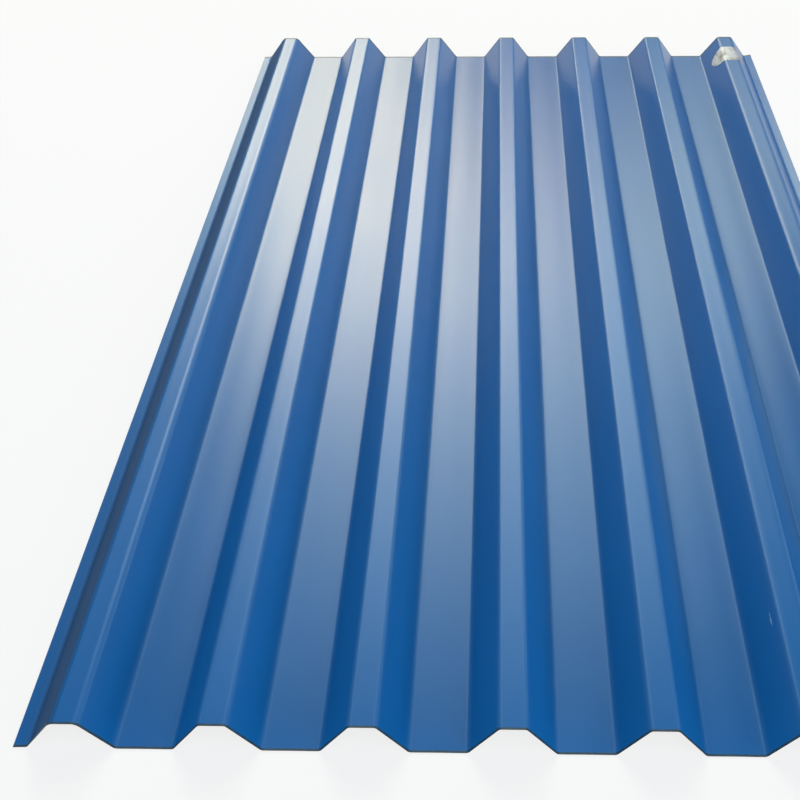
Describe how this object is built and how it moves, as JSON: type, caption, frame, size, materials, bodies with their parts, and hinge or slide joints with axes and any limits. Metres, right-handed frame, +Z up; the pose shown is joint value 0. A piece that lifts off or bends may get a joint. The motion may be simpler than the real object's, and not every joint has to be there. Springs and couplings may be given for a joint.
{
  "type": "corrugated metal sheet",
  "caption": "Roll-formed trapezoidal roofing and cladding sheet of blue coated steel, with straight ribs, flat pans and a narrow lip along each long edge.",
  "frame": {"origin": "centre of the sheet's outline, on the plane that the pans lie on", "axes": "+Y along the ribs, +X across them, +Z up out of the ribbed, coated face"},
  "size_m": [0.849, 1.4, 0.035],
  "materials": {
    "coated_steel": "satin"
  },
  "bodies": {
    "root": {"corrugated_sheet": "coated_steel"}
  },
  "joints": []
}
